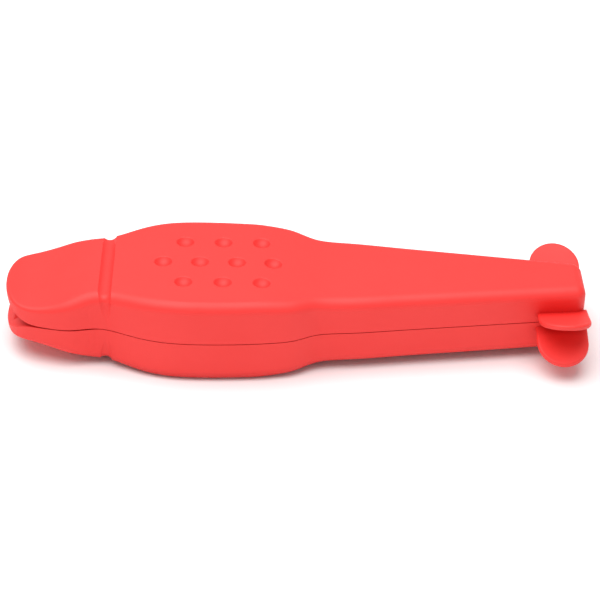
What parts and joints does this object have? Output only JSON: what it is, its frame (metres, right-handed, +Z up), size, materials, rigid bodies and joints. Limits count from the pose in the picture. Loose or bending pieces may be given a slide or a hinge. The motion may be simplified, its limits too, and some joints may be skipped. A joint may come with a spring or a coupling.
{
  "type": "guiro",
  "caption": "Hollow fish-shaped hand guiro: two moulded shells hinged at the tail that clap shut like a beak, with tail tabs and a ribbed scraping face.",
  "frame": {"origin": "on the surface the guiro rests on, under the middle of its length and width", "axes": "+X along the body from the snout to the tail, +Y across the body, +Z up through the upper shell"},
  "size_m": [0.22, 0.0622, 0.0334],
  "materials": {
    "red_plastic": "satin",
    "steel": "satin"
  },
  "bodies": {
    "lower": {"lower_shell": "red_plastic", "hinge_pin": "steel", "torsion_spring": "steel"},
    "upper": {"upper_shell": "red_plastic"}
  },
  "joints": [
    {"name": "mouth_open", "type": "hinge", "parent": "lower", "child": "upper", "pos_m": [0.094, 0, 0.01668], "axis": [0, 1, 0], "range_deg": [0, 10], "stiffness_Nm_per_rad": 0.14, "springref_deg": -34.38, "deforming": ["torsion_spring"]}
  ]
}
